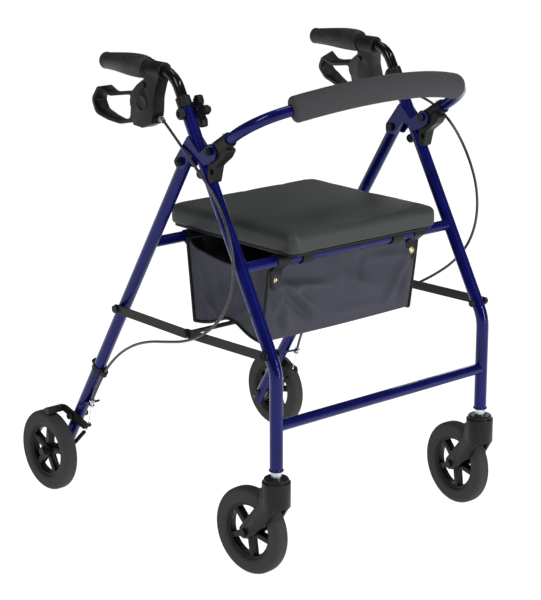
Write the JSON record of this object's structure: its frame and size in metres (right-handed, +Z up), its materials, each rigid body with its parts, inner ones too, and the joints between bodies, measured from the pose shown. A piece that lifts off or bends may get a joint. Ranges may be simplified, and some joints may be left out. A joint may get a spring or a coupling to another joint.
{
  "type": "rollator walker",
  "caption": "Folding steel walker on wheels with a padded flip-up seat, curved padded backrest, loop-lever brakes, height-adjustable handles and a bag under the seat.",
  "frame": {"origin": "on the floor under the centre of the object's box", "axes": "+Z up, -Y to the front (swivel wheels), +Y to the rear (handles), +X to the user's left"},
  "size_m": [0.6014, 0.7076, 0.8454],
  "materials": {
    "frame_paint": "glossy deep blue metallic enamel on steel tube",
    "handle_paint": "gloss black enamel on steel tube",
    "black_steel": "black coated steel",
    "zinc_steel": "bright zinc plate",
    "spring_steel": "black coated spring wire",
    "brass": "brushed",
    "black_plastic": "satin moulded nylon",
    "rim_plastic": "satin moulded nylon",
    "black_rubber": "matte",
    "tyre_rubber": "smooth solid tyre with a soft gloss",
    "grip_foam": "mottled textured grip",
    "pad_foam": "closed-cell foam skin",
    "seat_vinyl": "black vinyl with a fine grain",
    "bag_nylon": "dark grey coated nylon with black binding",
    "cable_sheath": "black extruded sheath"
  },
  "bodies": {
    "front_frame": {"front_leg_left": "frame_paint", "front_leg_right": "frame_paint", "lower_crossbar": "frame_paint", "seat_front_crossbar": "frame_paint", "hinge_plates": "frame_paint", "post_collars": "black_plastic", "bumpers": "black_rubber", "clamp_bolts": "black_steel", "frame_bolts": "black_steel", "caster_stems": "zinc_steel", "storage_bag": "bag_nylon", "brake_cable_left": "cable_sheath", "brake_cable_right": "cable_sheath"},
    "rear_frame": {"rear_leg_left": "frame_paint", "rear_leg_right": "frame_paint", "seat_rear_crossbar": "frame_paint", "rear_leg_bolts": "black_steel", "cable_clips": "black_plastic", "cable_tabs": "frame_paint", "lower_adjusters": "zinc_steel", "brake_springs": "spring_steel"},
    "brace_front": {"brace_front_links": "black_steel", "brace_rod": "black_steel"},
    "brace_rear": {"brace_rear_links": "black_steel"},
    "seat": {"seat_pad": "seat_vinyl", "seat_board": "black_plastic", "seat_clips": "black_plastic"},
    "backrest": {"backrest_tube": "frame_paint", "backrest_pad": "pad_foam", "backrest_sockets": "black_plastic"},
    "handle_left": {"handle_tube_left": "handle_paint", "grip_left": "grip_foam", "brake_housing_left": "black_plastic", "lever_screw_left": "black_steel", "cable_barrel_left": "zinc_steel"},
    "lever_left": {"brake_lever_left": "black_plastic"},
    "knob_left": {"star_knob_left": "black_plastic"},
    "button_left": {"release_button_left": "brass"},
    "caster_left": {"caster_fork_left": "black_plastic", "front_axle_left": "black_steel"},
    "front_wheel_left": {"front_tyre_left": "tyre_rubber", "front_rim_left": "rim_plastic"},
    "rear_wheel_left": {"rear_tyre_left": "tyre_rubber", "rear_rim_left": "rim_plastic"},
    "brake_left": {"brake_arm_left": "black_steel"},
    "handle_right": {"handle_tube_right": "handle_paint", "grip_right": "grip_foam", "brake_housing_right": "black_plastic", "lever_screw_right": "black_steel", "cable_barrel_right": "zinc_steel"},
    "lever_right": {"brake_lever_right": "black_plastic"},
    "knob_right": {"star_knob_right": "black_plastic"},
    "button_right": {"release_button_right": "brass"},
    "caster_right": {"caster_fork_right": "black_plastic", "front_axle_right": "black_steel"},
    "front_wheel_right": {"front_tyre_right": "tyre_rubber", "front_rim_right": "rim_plastic"},
    "rear_wheel_right": {"rear_tyre_right": "tyre_rubber", "rear_rim_right": "rim_plastic"},
    "brake_right": {"brake_arm_right": "black_steel"}
  },
  "joints": [
    {"name": "fold", "type": "hinge", "parent": "front_frame", "child": "rear_frame", "pos_m": [0, -0.0992, 0.68], "axis": [-1, 0, 0], "range_deg": [0, 36], "deforming": ["storage_bag", "brake_cable_left", "brake_cable_right"]},
    {"name": "brace_front_hinge", "type": "hinge", "parent": "front_frame", "child": "brace_front", "pos_m": [0, -0.31271, 0.391], "axis": [1, 0, 0], "range_deg": [0, 44.94]},
    {"name": "brace_knee", "type": "hinge", "parent": "brace_front", "child": "brace_rear", "pos_m": [0, -0.1126, 0.386], "axis": [-1, 0, 0], "range_deg": [0, 122.85]},
    {"name": "seat_flip", "type": "hinge", "parent": "front_frame", "child": "seat", "pos_m": [0, -0.23925, 0.521], "axis": [1, 0, 0], "range_deg": [0, 85]},
    {"name": "backrest_hinge", "type": "hinge", "parent": "front_frame", "child": "backrest", "pos_m": [0, -0.1763, 0.7079], "axis": [-1, 0, 0], "range_deg": [0, 80]},
    {"name": "handle_height_left", "type": "slide", "parent": "front_frame", "child": "handle_left", "axis": [0, 0.4919, 0.8706], "range_m": [0, 0.11]},
    {"name": "knob_turn_left", "type": "hinge", "parent": "front_frame", "child": "knob_left", "pos_m": [0.22, -0.10422, 0.76], "axis": [1, 0, 0], "continuous": true},
    {"name": "lever_squeeze_left", "type": "hinge", "parent": "handle_left", "child": "lever_left", "pos_m": [0.25337, -0.0006, 0.79665], "axis": [0.9397, 0, 0.342], "range_deg": [0, 9], "stiffness_Nm_per_rad": 4, "springref_deg": -5.73},
    {"name": "brake_arm_turn_left", "type": "hinge", "parent": "rear_frame", "child": "brake_left", "pos_m": [0.244, 0.23161, 0.15], "axis": [-1, 0, 0], "range_deg": [0, 4.5], "deforming": ["brake_springs"]},
    {"name": "button_press_left", "type": "slide", "parent": "backrest", "child": "button_left", "axis": [0, -0.527, -0.8499], "range_m": [0, 0.003], "stiffness_N_per_m": 800},
    {"name": "caster_swivel_left", "type": "hinge", "parent": "front_frame", "child": "caster_left", "pos_m": [0.244, -0.327, 0.184], "axis": [0, 0, 1], "continuous": true},
    {"name": "front_wheel_spin_left", "type": "hinge", "parent": "caster_left", "child": "front_wheel_left", "pos_m": [0.24897, -0.27022, 0.076], "axis": [0.9962, -0.0872, 0], "continuous": true},
    {"name": "rear_wheel_spin_left", "type": "hinge", "parent": "rear_frame", "child": "rear_wheel_left", "pos_m": [0.2812, 0.2778, 0.076], "axis": [1, 0, 0], "continuous": true},
    {"name": "handle_height_right", "type": "slide", "parent": "front_frame", "child": "handle_right", "axis": [0, 0.4919, 0.8706], "range_m": [0, 0.11]},
    {"name": "knob_turn_right", "type": "hinge", "parent": "front_frame", "child": "knob_right", "pos_m": [-0.22, -0.10422, 0.76], "axis": [1, 0, 0], "continuous": true},
    {"name": "lever_squeeze_right", "type": "hinge", "parent": "handle_right", "child": "lever_right", "pos_m": [-0.244, -0.0006, 0.795], "axis": [1, 0, 0], "range_deg": [0, 9], "stiffness_Nm_per_rad": 4, "springref_deg": -5.73},
    {"name": "brake_arm_turn_right", "type": "hinge", "parent": "rear_frame", "child": "brake_right", "pos_m": [-0.244, 0.23161, 0.15], "axis": [-1, 0, 0], "range_deg": [0, 4.5]},
    {"name": "button_press_right", "type": "slide", "parent": "backrest", "child": "button_right", "axis": [0, -0.527, -0.8499], "range_m": [0, 0.003], "stiffness_N_per_m": 800},
    {"name": "caster_swivel_right", "type": "hinge", "parent": "front_frame", "child": "caster_right", "pos_m": [-0.244, -0.327, 0.184], "axis": [0, 0, 1], "continuous": true},
    {"name": "front_wheel_spin_right", "type": "hinge", "parent": "caster_right", "child": "front_wheel_right", "pos_m": [-0.24897, -0.27022, 0.076], "axis": [0.9962, 0.0872, 0], "continuous": true},
    {"name": "rear_wheel_spin_right", "type": "hinge", "parent": "rear_frame", "child": "rear_wheel_right", "pos_m": [-0.2812, 0.2778, 0.076], "axis": [1, 0, 0], "continuous": true}
  ],
  "couplings": [
    {"joint": "brace_front_hinge", "follows": "fold", "ratio": 1.2344},
    {"joint": "brace_knee", "follows": "fold", "ratio": 3.3985},
    {"joint": "brake_arm_turn_left", "follows": "lever_squeeze_left", "ratio": 0.44444},
    {"joint": "brake_arm_turn_right", "follows": "lever_squeeze_right", "ratio": 0.44444}
  ]
}
